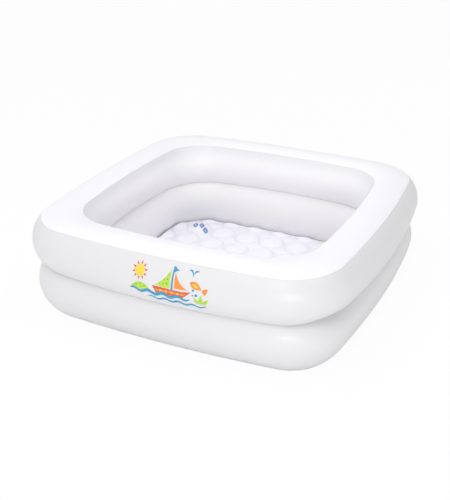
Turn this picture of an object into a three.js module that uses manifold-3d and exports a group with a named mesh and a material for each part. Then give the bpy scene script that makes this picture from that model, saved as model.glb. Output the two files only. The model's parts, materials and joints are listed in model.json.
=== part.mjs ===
import * as THREE from 'three';
import { mergeVertices } from 'three/addons/utils/BufferGeometryUtils.js';
import Module from 'manifold-3d';

const wasm = await Module();
wasm.setup();

// A square inflatable paddling pool for babies: two air rings, one on the other, round a bubble floor.
// Every air chamber is made of sheets of soft vinyl film welded edge to edge, and each sheet is one piece here.
// Millimetres, +Z up. The origin is on the ground under the middle of the pool, and -Y is the front.

// Film and welds
const filmThickness = 0.3;
const weldGap = 0.3;

// Heights of the welds above the ground
const creaseHeight = 126;
const rimOuterHeight = 240;
const rimInnerHeight = 242;

// Weld outlines: half width at the ends of a side, corner radius, and how far the middle of a side bows out
const footOuterHalf = 364;
const footOuterRadius = 98;
const footOuterBow = 11.5;
const footInnerHalf = 309;
const footInnerRadius = 115;
const footInnerBow = 3;
const creaseOuterHalf = 388.5;
const creaseOuterRadius = 139;
const creaseOuterBow = 18.5;
const creaseInnerHalf = 315;
const creaseInnerRadius = 150;
const creaseInnerBow = 9.5;
const rimOuterHalf = 387;
const rimOuterRadius = 129;
const rimOuterBow = 12;
const rimInnerHalf = 310;
const rimInnerRadius = 113;
const rimInnerBow = 9.5;

// How far the air pushes each sheet out of its flat
const upperOuterBulge = 27;
const lowerOuterBulge = 29;
const upperInnerBulge = 22;
const lowerInnerBulge = 21;
const rimCrown = 8;

// Bubble floor: the top sheet is welded to the base sheet in a square net, and each cell is a low dome
const bubblePitch = 79.5;
const bubbleRise = 12;
const bubbleShiftAcross = 12;
const bubbleShiftAlong = -6;
const flatMargin = 38;
const shoulderShare = 0.58;
const shoulderRiseShare = 0.8;

// Safety valve: a welded flange, a stem that pushes in flush, a non-return flap and a plug on a strap
const flangeRadius = 16;
const flangeThickness = 1;
const collarWall = 0.9;
const collarDepth = 3.2;
const slideClearance = 0.25;
const stemRadius = 6.2;
const boreRadius = 4.4;
const lipRadius = 9;
const lipThickness = 1.6;
const ringStemDepth = 9.5;
const floorStemDepth = 5.5;
const flapRadius = 5.1;
const flapRoot = 0.4;
const flapRootWidth = 3.2;
const flapThickness = 0.6;
const stopperClearance = 0.2;
const stopperLength = 4.4;
const stopperTaper = 0.6;
const plugRadius = 6.8;
const plugThickness = 1.2;
const strapWidth = 3.6;
const strapThickness = 0.9;
const tabReach = 3.4;
const tabWidth = 4.4;
const edgeChamfer = 0.4;

// Where the valves sit: along the back for the rings, and on one dome of the front half for the floor
const ringValveAcross = 178;
const upperValveShare = 0.5;
const lowerValveShare = 0.6;
const floorValveColumn = 2;
const floorValveRow = -2;

// How finely the round forms are cut
const sideSteps = 6;
const cornerSteps = 6;
const wallSteps = 6;
const rimSteps = 4;
const valveSteps = 20;
const cutOverrun = 2;

// Finishes
const rimVinyl = { color: 0xfbfbff, roughness: 0.35, metalness: 0 };
const wallVinyl = { color: 0xefeff1, roughness: 0.35, metalness: 0 };
const floorVinyl = { color: 0xefeefa, roughness: 0.4, metalness: 0 };
const webVinyl = { color: 0xe6e6ea, roughness: 0.5, metalness: 0 };
const valveVinyl = { color: 0xe4e8ec, roughness: 0.3, metalness: 0 };
const plugVinyl = { color: 0xd9dee4, roughness: 0.3, metalness: 0 };

const upwards = new THREE.Vector3(0, 0, 1);
const backwards = new THREE.Vector3(0, 1, 0);
const pool = new THREE.Group();

function piece(name, geometry, finish, parent = pool) {
  const mesh = new THREE.Mesh(geometry, new THREE.MeshStandardMaterial(finish));
  mesh.name = name;
  parent.add(mesh);
  return mesh;
}

// A ring is a rounded square at one height. Its corner arcs keep their centres when it grows.
function ring(half, radius, bow, height) {
  return { half, radius, bow, height };
}

function grown(base, outwards, lift = 0) {
  return ring(base.half + outwards, base.radius + outwards, base.bow, base.height + lift);
}

function between(low, high, share) {
  const mix = (key) => THREE.MathUtils.lerp(low[key], high[key], share);
  return ring(mix('half'), mix('radius'), mix('bow'), mix('height'));
}

// Each side is a flat arc that runs on smoothly into the corner arcs.
function sideArc(base) {
  const corner = base.half - base.radius;
  const behind = (corner * corner - base.bow * base.bow) / (2 * base.bow);
  return {
    centre: corner - behind, radius: base.radius + behind + base.bow, spread: Math.atan2(corner, behind),
  };
}

// How far the side reaches from the middle of the pool, at a distance from the side's own middle
function sideReach(base, offset) {
  const arc = sideArc(base);
  return arc.centre + Math.sqrt(arc.radius * arc.radius - offset * offset);
}

// Points of a ring, anticlockwise from above. The same station numbers match on every ring.
function stations(base) {
  const corner = base.half - base.radius;
  const arc = sideArc(base);
  const points = [];
  const add = (centreX, centreY, radius, angle, turn) => {
    const x = centreX + radius * Math.cos(angle);
    const y = centreY + radius * Math.sin(angle);
    points.push(new THREE.Vector3(x, y, base.height).applyAxisAngle(upwards, turn));
  };
  for (let quarter = 0; quarter < 4; quarter += 1) {
    const turn = (quarter * Math.PI) / 2;
    for (let step = 0; step < sideSteps; step += 1) {
      const angle = arc.spread * ((2 * step) / sideSteps - 1);
      add(arc.centre, 0, arc.radius, angle, turn);
    }
    for (let step = 0; step < cornerSteps; step += 1) {
      const angle = THREE.MathUtils.lerp(arc.spread, Math.PI / 2 - arc.spread, step / cornerSteps);
      add(corner, corner, base.radius, angle, turn);
    }
  }
  return points;
}

// One ring of the sheet between two welds, which the air pushes out into an arc
function bulgedRing(low, high, bulge, share) {
  const chord = high.height - low.height;
  const size = Math.abs(bulge);
  const arcRadius = (chord * chord / 4 + size * size) / (2 * size);
  const offCentre = (share - 1 / 2) * chord;
  const swell = Math.sqrt(arcRadius * arcRadius - offCentre * offCentre) - (arcRadius - size);
  return grown(between(low, high, share), Math.sign(bulge) * swell);
}

// Rings of a wall sheet from its low weld to its high one, each end clear of the film that it is welded to
function wallRings(low, high, bulge) {
  const trim = (weldGap + filmThickness) / (high.height - low.height);
  const rings = [];
  for (let step = 0; step <= wallSteps; step += 1) {
    rings.push(bulgedRing(low, high, bulge, THREE.MathUtils.lerp(trim, 1 - trim, step / wallSteps)));
  }
  return rings;
}

// Rings of the rim's top sheet, from its outer weld over its crown to the inner one
function crownedRings(outer, inner) {
  const rings = [];
  for (let step = 0; step <= rimSteps; step += 1) {
    const share = step / rimSteps;
    const lift = rimCrown * (1 - (2 * share - 1) ** 2);
    rings.push(grown(between(outer, inner, share), 0, lift));
  }
  return rings;
}

// Each ring moved square to the sheet, as it runs in the middle of a side, and to the left of its run
function setBack(rings, distance) {
  return rings.map((base, index) => {
    const before = rings[Math.max(index - 1, 0)];
    const after = rings[Math.min(index + 1, rings.length - 1)];
    const outwards = sideReach(after, 0) - sideReach(before, 0);
    const lift = after.height - before.height;
    const length = Math.hypot(outwards, lift);
    return grown(base, (-lift / length) * distance, (outwards / length) * distance);
  });
}

function meshOf(positions, index) {
  const geometry = new THREE.BufferGeometry();
  geometry.setAttribute('position', new THREE.Float32BufferAttribute(positions, 3));
  geometry.setIndex(index);
  return geometry;
}

// A closed band round the pool. Its rings go anticlockwise round its section, with the outside on the right.
function band(rings) {
  const loops = rings.map(stations);
  const count = loops[0].length;
  const index = [];
  for (let row = 0; row < loops.length; row += 1) {
    const nextRow = (row + 1) % loops.length;
    for (let step = 0; step < count; step += 1) {
      const nextStep = (step + 1) % count;
      const a = row * count + step;
      const b = row * count + nextStep;
      const c = nextRow * count + nextStep;
      const d = nextRow * count + step;
      index.push(a, b, c, a, c, d);
    }
  }
  return meshOf(loops.flat().flatMap((point) => point.toArray()), index);
}

// A sheet of film. Its face runs anticlockwise round its air chamber, which is on the left.
function film(face) {
  return band([...face, ...setBack(face, filmThickness).reverse()]);
}

// The space that a sheet and the air behind it fill, with a weld gap in front of the face
function filledSpace(face, depth) {
  return toSolid(band([...setBack(face, -weldGap), ...setBack(face, depth).reverse()]));
}

function toSolid(geometry) {
  const bare = geometry.clone();
  bare.deleteAttribute('normal');
  bare.deleteAttribute('uv');
  const merged = mergeVertices(bare);
  const vertProperties = new Float32Array(merged.attributes.position.array);
  const triVerts = new Uint32Array(merged.index.array);
  return new wasm.Manifold(new wasm.Mesh({ numProp: 3, vertProperties, triVerts }));
}

function toGeometry(solid) {
  const mesh = solid.getMesh();
  return meshOf(Array.from(mesh.vertProperties), Array.from(mesh.triVerts));
}

// A turned form whose profile is drawn as radius and height, with its axis along Z
function turned(profile) {
  const points = profile.map(([radius, height]) => new THREE.Vector2(radius, height));
  return new THREE.LatheGeometry(points, valveSteps).rotateX(Math.PI / 2);
}

// A flat plate from one height up, whose outline is drawn in X and Y
function plate(points, bottom, thickness) {
  const shape = new THREE.Shape(points);
  return new THREE.ExtrudeGeometry(shape, { depth: thickness, bevelEnabled: false }).translate(0, 0, bottom);
}

// The welds
const footOuter = ring(footOuterHalf, footOuterRadius, footOuterBow, filmThickness);
const footInner = ring(footInnerHalf, footInnerRadius, footInnerBow, filmThickness);
const creaseOuter = ring(creaseOuterHalf, creaseOuterRadius, creaseOuterBow, creaseHeight);
const creaseInner = ring(creaseInnerHalf, creaseInnerRadius, creaseInnerBow, creaseHeight);
const rimOuter = ring(rimOuterHalf, rimOuterRadius, rimOuterBow, rimOuterHeight);
const rimInner = ring(rimInnerHalf, rimInnerRadius, rimInnerBow, rimInnerHeight);

// Faces of the sheets: outer walls run up, the rim runs inwards and inner walls run down, round their air
const lowerOuterFace = wallRings(footOuter, creaseOuter, lowerOuterBulge);
const upperOuterFace = wallRings(creaseOuter, rimOuter, upperOuterBulge);
const rimFace = crownedRings(rimOuter, rimInner);
const upperInnerFace = wallRings(creaseInner, rimInner, -upperInnerBulge).reverse();
const lowerInnerFace = wallRings(footInner, creaseInner, -lowerInnerBulge).reverse();

// The web between the two rings' air, welded in at the creases
function ringDivider() {
  const under = -filmThickness / 2;
  const over = filmThickness / 2;
  const section = [
    grown(creaseOuter, 0, under), grown(creaseOuter, 0, over),
    grown(creaseInner, 0, over), grown(creaseInner, 0, under),
  ];
  return band(section);
}

// The sheet that the whole pool stands on, out to the outer foot weld
function baseSheet() {
  const outline = stations(footOuter).map((point) => new THREE.Vector2(point.x, point.y));
  return plate(outline, 0, filmThickness);
}

// How far a point lies inside a ring
function depthInside(base, x, y) {
  const across = Math.abs(x) - (base.half - base.radius);
  const along = Math.abs(y) - (base.half - base.radius);
  const corner = Math.hypot(Math.max(across, 0), Math.max(along, 0));
  return base.radius - corner - Math.min(Math.max(across, along), 0);
}

const floorNetTop = 2 * filmThickness + weldGap;
const bubbleTop = floorNetTop + bubbleRise;
const floorValveX = bubbleShiftAcross + floorValveColumn * bubblePitch;
const floorValveY = bubbleShiftAlong + floorValveRow * bubblePitch;

// One cell of the floor: a low dome with an eight-sided shoulder, or a flat square near the wall.
// The dome that carries the valve has a flat top.
function floorCell(x, y) {
  const half = bubblePitch / 2;
  const blown = depthInside(footInner, x, y) >= flatMargin;
  const carriesValve = x === floorValveX && y === floorValveY;
  const corners = [];
  for (let quarter = 0; quarter < 4; quarter += 1) {
    const angle = Math.PI / 4 + (quarter * Math.PI) / 2;
    const reach = half * Math.SQRT2;
    corners.push([x + reach * Math.cos(angle), y + reach * Math.sin(angle), floorNetTop]);
  }
  const middle = [x, y, blown ? bubbleTop : floorNetTop];
  if (!blown) {
    return corners.map((corner, quarter) => [middle, corner, corners[(quarter + 1) % 4]]);
  }
  const shoulderTop = carriesValve ? bubbleTop : floorNetTop + bubbleRise * shoulderRiseShare;
  const shoulder = [];
  for (let eighth = 0; eighth < 8; eighth += 1) {
    const angle = (eighth * Math.PI) / 4;
    const reach = half * shoulderShare;
    shoulder.push([x + reach * Math.cos(angle), y + reach * Math.sin(angle), shoulderTop]);
  }
  const triangles = shoulder.map((point, eighth) => [middle, point, shoulder[(eighth + 1) % 8]]);
  for (let quarter = 0; quarter < 4; quarter += 1) {
    const corner = corners[quarter];
    const nextCorner = corners[(quarter + 1) % 4];
    const near = shoulder[2 * quarter + 1];
    const crown = shoulder[(2 * quarter + 2) % 8];
    const far = shoulder[(2 * quarter + 3) % 8];
    triangles.push([near, corner, crown], [crown, corner, nextCorner], [crown, nextCorner, far]);
  }
  return triangles;
}

// A sheet of film whose upper face is a list of triangles, seen from above anticlockwise
function filmUnder(triangles) {
  const numbers = new Map();
  const positions = [];
  const key = (point) => point.map((value) => Math.round(value / weldGap * 100)).join();
  const number = (point) => {
    const name = key(point);
    if (!numbers.has(name)) {
      numbers.set(name, positions.length / 3);
      positions.push(...point);
    }
    return numbers.get(name);
  };
  const upper = triangles.map((triangle) => triangle.map(number));
  const count = positions.length / 3;
  const lower = positions.map((value, place) => (place % 3 === 2 ? value - filmThickness : value));
  const edges = new Map();
  for (const [a, b, c] of upper) {
    for (const [from, to] of [[a, b], [b, c], [c, a]]) {
      edges.set(`${from} ${to}`, [from, to]);
    }
  }
  const index = [];
  for (const [a, b, c] of upper) {
    index.push(a, b, c, a + count, c + count, b + count);
  }
  for (const [from, to] of edges.values()) {
    if (!edges.has(`${to} ${from}`)) {
      index.push(from, from + count, to + count, from, to + count, to);
    }
  }
  return meshOf([...positions, ...lower], index);
}

function floorTopSheet() {
  const triangles = [];
  const reach = Math.ceil(footInnerHalf / bubblePitch) + 1;
  for (let column = -reach; column <= reach; column += 1) {
    for (let row = -reach; row <= reach; row += 1) {
      const x = bubbleShiftAcross + column * bubblePitch;
      const y = bubbleShiftAlong + row * bubblePitch;
      triangles.push(...floorCell(x, y));
    }
  }
  const far = ring(footInnerHalf + reach * bubblePitch, footInnerRadius, footInnerBow, 0);
  const wall = setBack(lowerInnerFace, -weldGap);
  const foot = wall[wall.length - 1];
  const beyond = [...wall, ring(foot.half, foot.radius, foot.bow, 0), far, grown(far, 0, creaseHeight)];
  return toSolid(filmUnder(triangles)).subtract(toSolid(band(beyond)));
}

// Where a valve sits on the back of an outer wall: a point on the sheet and the way it faces
function wallSeat(low, high, bulge, share) {
  const surface = (x, part) => {
    const base = bulgedRing(low, high, bulge, part);
    return new THREE.Vector3(x, sideReach(base, x), base.height);
  };
  const step = weldGap / creaseHeight;
  const point = surface(ringValveAcross, share);
  const up = surface(ringValveAcross, share + step).sub(surface(ringValveAcross, share - step));
  const left = surface(ringValveAcross - weldGap, share).sub(surface(ringValveAcross + weldGap, share));
  const outwards = new THREE.Vector3().crossVectors(left, up).normalize();
  return { point, outwards, up: up.normalize() };
}

// A valve's own frame has its axis along Z, out of the pool's air, and its strap towards +Y.
function valveFrame(seat) {
  const across = new THREE.Vector3().crossVectors(seat.up, seat.outwards);
  const frame = new THREE.Group();
  const basis = new THREE.Matrix4().makeBasis(across, seat.up, seat.outwards);
  frame.position.copy(seat.point);
  frame.quaternion.setFromRotationMatrix(basis);
  frame.updateMatrixWorld();
  return frame;
}

const collarBore = stemRadius + slideClearance;
const collarRadius = collarBore + collarWall;
const filmHoleRadius = collarRadius + weldGap;
const flangeTop = weldGap + flangeThickness;
const lipBottom = flangeTop + weldGap;
const lipTop = lipBottom + lipThickness;
const plugBottom = lipTop + weldGap;
const hingeHeight = lipBottom + lipThickness / 2;
const hingeReach = lipRadius + weldGap + strapThickness / 2;

// The film has a hole for the valve's collar.
function holedFilm(sheet, frame) {
  const hole = new THREE.CylinderGeometry(filmHoleRadius, filmHoleRadius, flangeRadius, valveSteps);
  hole.rotateX(Math.PI / 2).applyMatrix4(frame.matrixWorld);
  return sheet.subtract(toSolid(hole));
}

// Flange and guide collar, moulded in one. The flange's underside follows the film.
function valveFlange(frame, filled) {
  const disc = turned([
    [collarBore, -flangeThickness - cutOverrun], [flangeRadius, -flangeThickness - cutOverrun],
    [flangeRadius, flangeTop - edgeChamfer], [flangeRadius - edgeChamfer, flangeTop],
    [collarBore, flangeTop], [collarBore, -flangeThickness - cutOverrun],
  ]);
  const collar = turned([
    [collarBore, -collarDepth], [collarRadius, -collarDepth], [collarRadius, flangeTop - edgeChamfer],
    [collarBore, flangeTop - edgeChamfer], [collarBore, -collarDepth],
  ]);
  const toFrame = frame.matrixWorld.clone().invert();
  const filmSpace = toSolid(toGeometry(filled).applyMatrix4(toFrame));
  return toSolid(disc).subtract(filmSpace).add(toSolid(collar));
}

// Stem: a tube with a broad lip that comes to rest on the flange when it is pushed in
function valveStem(depth) {
  return turned([
    [boreRadius, -depth], [stemRadius, -depth], [stemRadius, lipBottom], [lipRadius, lipBottom],
    [lipRadius, lipTop - edgeChamfer], [lipRadius - edgeChamfer, lipTop], [boreRadius, lipTop],
    [boreRadius, -depth],
  ]);
}

// Non-return flap under the stem's inner end, hinged at its root
function valveFlap(depth) {
  const top = -depth - weldGap;
  const disc = new THREE.CylinderGeometry(flapRadius, flapRadius, flapThickness, valveSteps);
  disc.rotateX(Math.PI / 2).translate(0, 0, top - flapThickness / 2);
  const rootLength = flapRadius / 2 + flapRoot;
  const root = new THREE.BoxGeometry(flapRootWidth, rootLength, flapThickness);
  root.translate(0, flapRadius + flapRoot - rootLength / 2, top - flapThickness / 2);
  return toSolid(disc).add(toSolid(root));
}

// Side view of the strap in (reach, height), from under the plug's head over the lip's edge to its hinge
function strapShape() {
  const start = plugRadius / 2;
  const top = plugBottom + strapThickness;
  const shape = new THREE.Shape();
  shape.moveTo(start, plugBottom);
  shape.lineTo(hingeReach - strapThickness / 2, plugBottom);
  shape.lineTo(hingeReach - strapThickness / 2, hingeHeight);
  shape.absarc(hingeReach, hingeHeight, strapThickness / 2, Math.PI, 2 * Math.PI, false);
  shape.lineTo(hingeReach + strapThickness / 2, top - strapThickness);
  shape.lineTo(hingeReach - strapThickness / 2, top);
  shape.lineTo(start, top);
  return shape;
}

function valvePlug() {
  const stopperRadius = boreRadius - stopperClearance;
  const stopperBottom = lipTop - stopperLength;
  const body = turned([
    [0, stopperBottom], [stopperRadius - stopperTaper - edgeChamfer, stopperBottom],
    [stopperRadius - stopperTaper, stopperBottom + edgeChamfer], [stopperRadius, hingeHeight],
    [stopperRadius, plugBottom], [plugRadius, plugBottom],
    [plugRadius, plugBottom + plugThickness - edgeChamfer],
    [plugRadius - edgeChamfer, plugBottom + plugThickness], [0, plugBottom + plugThickness],
  ]);
  const strap = new THREE.ExtrudeGeometry(strapShape(), {
    depth: strapWidth, bevelEnabled: false, curveSegments: 3,
  });
  const sideways = new THREE.Matrix4().makeBasis(backwards, upwards, new THREE.Vector3(1, 0, 0));
  strap.applyMatrix4(sideways).translate(-strapWidth / 2, 0, 0);
  const tabEnd = plugRadius + tabReach;
  const outline = new THREE.Shape();
  outline.moveTo(tabWidth / 2, -plugRadius / 2);
  outline.lineTo(-tabWidth / 2, -plugRadius / 2);
  outline.lineTo(-tabWidth / 2, tabWidth / 2 - tabEnd);
  outline.absarc(0, tabWidth / 2 - tabEnd, tabWidth / 2, Math.PI, 2 * Math.PI, false);
  const tab = new THREE.ExtrudeGeometry(outline, {
    depth: strapThickness, bevelEnabled: false, curveSegments: 6,
  });
  tab.translate(0, 0, plugBottom);
  return toSolid(body).add(toSolid(strap)).add(toSolid(tab));
}

function addValve(prefix, seat, depth, filled) {
  const frame = valveFrame(seat);
  pool.add(frame);
  piece(`${prefix}_valve_flange`, toGeometry(valveFlange(frame, filled)), valveVinyl, frame);
  piece(`${prefix}_valve_stem`, valveStem(depth), valveVinyl, frame);
  piece(`${prefix}_valve_flap`, toGeometry(valveFlap(depth)), valveVinyl, frame);
  piece(`${prefix}_valve_plug`, toGeometry(valvePlug()), plugVinyl, frame);
  return frame;
}

const fillDepth = ringStemDepth;
const upperSeat = wallSeat(creaseOuter, rimOuter, upperOuterBulge, upperValveShare);
const lowerSeat = wallSeat(footOuter, creaseOuter, lowerOuterBulge, lowerValveShare);
const floorSeat = {
  point: new THREE.Vector3(floorValveX, floorValveY, bubbleTop), outwards: upwards, up: backwards,
};
const upperFrame = addValve('upper', upperSeat, ringStemDepth, filledSpace(upperOuterFace, fillDepth));
const lowerFrame = addValve('lower', lowerSeat, ringStemDepth, filledSpace(lowerOuterFace, fillDepth));
const flatTop = turned([
  [0, bubbleTop - fillDepth], [2 * flangeRadius, bubbleTop - fillDepth],
  [2 * flangeRadius, bubbleTop + weldGap], [0, bubbleTop + weldGap],
]).translate(floorValveX, floorValveY, 0);
const floorFrame = addValve('floor', floorSeat, floorStemDepth, toSolid(flatTop));

piece('base_sheet', baseSheet(), wallVinyl);
piece('floor_top_sheet', toGeometry(holedFilm(floorTopSheet(), floorFrame)), floorVinyl);
piece('lower_outer_wall', toGeometry(holedFilm(toSolid(film(lowerOuterFace)), lowerFrame)), wallVinyl);
piece('lower_inner_wall', film(lowerInnerFace), wallVinyl);
piece('ring_divider', ringDivider(), webVinyl);
piece('upper_outer_wall', toGeometry(holedFilm(toSolid(film(upperOuterFace)), upperFrame)), wallVinyl);
piece('upper_inner_wall', film(upperInnerFace), wallVinyl);
piece('rim_top_sheet', film(rimFace), rimVinyl);

export default pool;
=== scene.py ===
# %% [markdown]
# # A square inflatable paddling pool
# The real pool is welded from flat sheets of soft PVC film. Air fills two rings and a bubble floor, and
# pushes each sheet out between its welds. Every sheet is a piece of its own here. The imported model is
# loaded first, because each piece takes its place and its body from it.

# %% Load the imported model
import json
import math
import bpy
import numpy as np
from mathutils import Matrix, Vector


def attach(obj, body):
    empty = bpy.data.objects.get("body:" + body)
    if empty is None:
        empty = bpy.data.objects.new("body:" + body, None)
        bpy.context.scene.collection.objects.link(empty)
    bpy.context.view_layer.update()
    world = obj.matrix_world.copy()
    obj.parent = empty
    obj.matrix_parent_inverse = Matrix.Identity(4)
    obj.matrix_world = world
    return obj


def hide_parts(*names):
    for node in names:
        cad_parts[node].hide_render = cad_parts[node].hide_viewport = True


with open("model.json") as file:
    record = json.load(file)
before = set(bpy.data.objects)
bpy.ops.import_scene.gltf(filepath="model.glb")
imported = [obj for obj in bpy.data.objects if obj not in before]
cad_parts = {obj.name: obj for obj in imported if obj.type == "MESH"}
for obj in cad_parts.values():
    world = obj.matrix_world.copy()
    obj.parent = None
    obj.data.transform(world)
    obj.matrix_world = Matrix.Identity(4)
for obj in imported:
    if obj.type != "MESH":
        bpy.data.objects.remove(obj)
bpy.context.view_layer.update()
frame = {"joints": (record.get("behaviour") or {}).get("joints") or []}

scene = bpy.context.scene
scene.view_settings.view_transform = "Standard"

# %% [markdown]
# ## Camera
# The pictures that sell such a pool look down on one corner from a little above. The camera is placed by
# its turn round the pool, its height and its distance, and the lens and shift frame the pool as in the
# photograph. Placing it by angles, and not by typed coordinates, keeps it aimed at the pool when one of
# them changes.

# %% Place the camera
MM = 0.001
PICTURE = (450, 500)
AIM_HEIGHT = 0.125
CAMERA_TURN = math.radians(25.1)
CAMERA_RISE = math.radians(25.0)
CAMERA_DISTANCE = 2.332
FOCAL_PIXELS = 884
CENTRE_PIXEL = (234.3, 234.5)

level = math.cos(CAMERA_RISE)
away = Vector((math.sin(CAMERA_TURN) * level, -math.cos(CAMERA_TURN) * level, math.sin(CAMERA_RISE)))
bpy.ops.object.camera_add(location=Vector((0, 0, AIM_HEIGHT)) + away * CAMERA_DISTANCE)
camera = bpy.context.object
camera.rotation_euler = away.to_track_quat("Z", "Y").to_euler()
camera.data.sensor_width = 36
camera.data.lens = FOCAL_PIXELS / PICTURE[1] * camera.data.sensor_width
camera.data.shift_x = (PICTURE[0] / 2 - CENTRE_PIXEL[0]) / PICTURE[1]
camera.data.shift_y = (CENTRE_PIXEL[1] - PICTURE[1] / 2) / PICTURE[1]
scene.camera = camera
print(f"lens {camera.data.lens:.1f} mm, {CAMERA_DISTANCE} m from the pool")

# %% [markdown]
# ## Helpers for nodes and colours
# Paint charts and photographs give colours as sRGB hex values, but a shader works with linear light, so
# one function turns one into the other. A second one adds a node with its settings and links in one line,
# which keeps each material short enough to read at a glance.

# %% Define the helpers for nodes and colours
def linear(hex_colour, alpha=1.0):
    channels = [int(hex_colour[at:at + 2], 16) / 255 for at in (1, 3, 5)]
    return (*(c / 12.92 if c <= 0.04045 else ((c + 0.055) / 1.055) ** 2.4 for c in channels), alpha)


def add_node(tree, kind, inputs=None, **settings):
    node = tree.nodes.new(kind)
    for name, value in settings.items():
        setattr(node, name, value)
    for socket, value in (inputs or {}).items():
        if isinstance(value, bpy.types.NodeSocket):
            tree.links.new(value, node.inputs[socket])
        else:
            node.inputs[socket].default_value = value
    return node


def new_material(name):
    material = bpy.data.materials.new(name)
    material.use_nodes = True
    material.node_tree.nodes.clear()
    return material, material.node_tree


print("the grey #808080 as linear light:", round(linear("#808080")[0], 3))

# %% [markdown]
# ## Soft PVC film
# The sheets are calendered PVC, about 0.3 mm thick: rollers squeeze it out smooth, which leaves a soft
# gloss with a very faint unevenness. White pigment makes it opaque, yet a little light still travels
# inside it. So the material has the IOR of PVC, a middling roughness, slight subsurface scattering, and a
# bump far finer than the sheet is thick. Cloudy patches of pigment shift its colour by one to six steps
# of a hex value. Each sheet's white was matched to the photograph. The rim and the walls are one white
# film: its copy on the outer walls is darker, as painted shade, and its copy on the basin walls is
# lighter, as painted light. The floor's white is lavender. Where a sheet has a mark, such as a weld line,
# an attribute of its mesh says where, and the material tints it: the tints below the rim's edge and
# along the floor's weld lines are painted shade.

# %% Make the film materials
PVC_IOR = 1.53
CLOUD_SIZE = 90 * MM
GLOSS_SPREAD = 0.03      # how much the roughness rises and falls from cloud to cloud
GRAIN_SIZE = 3 * MM      # the real grain is under 1 mm, and is drawn coarser here so that it shows at all
GRAIN_HEIGHT = 0.012 * MM
SLACK_SIZE = 45 * MM
SLACK_HEIGHT = 0.25 * MM
MILKINESS = 0.05         # the share of the light that travels inside the film
LIGHT_TRAVEL = 2 * MM    # and how far it gets


def film_material(name, hex_colour, cloud_hex, roughness, milkiness, **mark_tints):
    """A finish for film. Each mark tint is named after the attribute that says where it shows."""
    material, tree = new_material(name)
    place = add_node(tree, "ShaderNodeTexCoord").outputs["Object"]
    clouds = add_node(tree, "ShaderNodeTexNoise", {"Vector": place, "Scale": 1 / CLOUD_SIZE, "Detail": 2.0})
    colour = add_node(tree, "ShaderNodeMix", {
        "Factor": clouds.outputs["Fac"], "A": linear(hex_colour), "B": linear(cloud_hex),
    }, data_type="RGBA")
    for mark, tint_hex in mark_tints.items():
        marked = add_node(tree, "ShaderNodeAttribute", attribute_name=mark)
        colour = add_node(tree, "ShaderNodeMix", {
            "Factor": marked.outputs["Fac"], "A": colour.outputs["Result"], "B": linear(tint_hex),
        }, data_type="RGBA")
    gloss = add_node(tree, "ShaderNodeMapRange", {
        "Value": clouds.outputs["Fac"],
        "To Min": roughness - GLOSS_SPREAD, "To Max": roughness + GLOSS_SPREAD,
    })
    fine = add_node(tree, "ShaderNodeTexNoise", {"Vector": place, "Scale": 1 / GRAIN_SIZE, "Detail": 3.0})
    broad = add_node(tree, "ShaderNodeTexNoise", {"Vector": place, "Scale": 1 / SLACK_SIZE, "Detail": 1.0})
    slack = add_node(tree, "ShaderNodeBump", {
        "Height": broad.outputs["Fac"], "Strength": 1.0, "Distance": SLACK_HEIGHT,
    })
    skin = add_node(tree, "ShaderNodeBump", {
        "Height": fine.outputs["Fac"], "Strength": 1.0, "Distance": GRAIN_HEIGHT,
        "Normal": slack.outputs["Normal"],
    })
    film = add_node(tree, "ShaderNodeBsdfPrincipled", {
        "Base Color": colour.outputs["Result"], "Roughness": gloss.outputs["Result"], "IOR": PVC_IOR,
        "Subsurface Weight": milkiness, "Subsurface Radius": (1, 1, 1), "Subsurface Scale": LIGHT_TRAVEL,
        "Normal": skin.outputs["Normal"],
    })
    add_node(tree, "ShaderNodeOutputMaterial", {"Surface": film.outputs["BSDF"]})
    return material


rim_film_finish = film_material("bright_white_calendered_pvc", "#F4F3F8", "#F3F2F7", 0.36, MILKINESS)
# painted shade: the outer walls' white is a darker copy of the same white film
outer_film_painted_shade = film_material(
    "white_pvc_painted_shade_outer", "#E1E0E2", "#E0DFE1", 0.32, MILKINESS, rim_press="#DFDEE0")
# painted light: the basin walls' white is a lighter copy of the same white film
basin_film_painted_light = film_material(
    "white_pvc_painted_light_basin", "#F6F5F6", "#F5F4F5", 0.33, MILKINESS, rim_press="#E0DFE2")
floor_film_finish = film_material(
    "lavender_white_calendered_pvc", "#FAF9FF", "#F9F8FF", 0.36, MILKINESS, weld_line="#D9D5E8")
web_film_finish = film_material("plain_white_calendered_pvc", "#E6E6E9", "#E2E2E5", 0.5, 0.0)
# painted shade: a dark finish for the bead where the basin's wall meets the floor
floor_edge_shade_finish = film_material("weld_pvc_painted_contact_shade", "#C3B5C2", "#BDAFBC", 0.5, 0.0)
print("film finishes:", [made.name for made in bpy.data.materials if "pvc" in made.name])

# %% [markdown]
# ## The weld outlines
# Each weld runs round the pool as a rounded square whose sides bow out a little, because the air pulls
# the sheets tight. One function gives points on such an outline, and the same turn lies at the same part
# of every outline, so a sheet is simply stretched from one outline to the next. All arithmetic runs on
# whole arrays, which is far quicker in Python than point by point.

# %% Give the weld outlines their sizes
FILM = 0.3 * MM
SIDE_PART = 0.66         # how much of each quarter turn is side, and the rest is corner


def outline(half, radius, bow, height):
    """A weld's outline in mm: half its width, its corners' radius, its sides' bow, and its height."""
    return np.array([half, radius, bow, height]) * MM


FOOT_OUTER = outline(364, 98, 11.5, 0.3)
FOOT_INNER = outline(309, 115, 3, 0.3)
CREASE_OUTER = outline(388.5, 139, 18.5, 126)
CREASE_INNER = outline(315, 150, 9.5, 126)
RIM_OUTER = outline(387, 129, 12, 240)
RIM_INNER = outline(310, 113, 9.5, 242)


def side_arc(half, radius, bow):
    """The corner's centre, then the side arc's centre, its radius and half the angle that it spans."""
    corner = half - radius
    behind = (corner ** 2 - bow ** 2) / (2 * bow)
    return corner, corner - behind, radius + behind + bow, np.arctan2(corner, behind)


def side_reach(half, radius, bow, offset):
    """How far a side stands out from the pool's middle, at an offset along it."""
    _, centre, arc_radius, _ = side_arc(half, radius, bow)
    return centre + np.sqrt(arc_radius ** 2 - offset ** 2)


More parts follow.
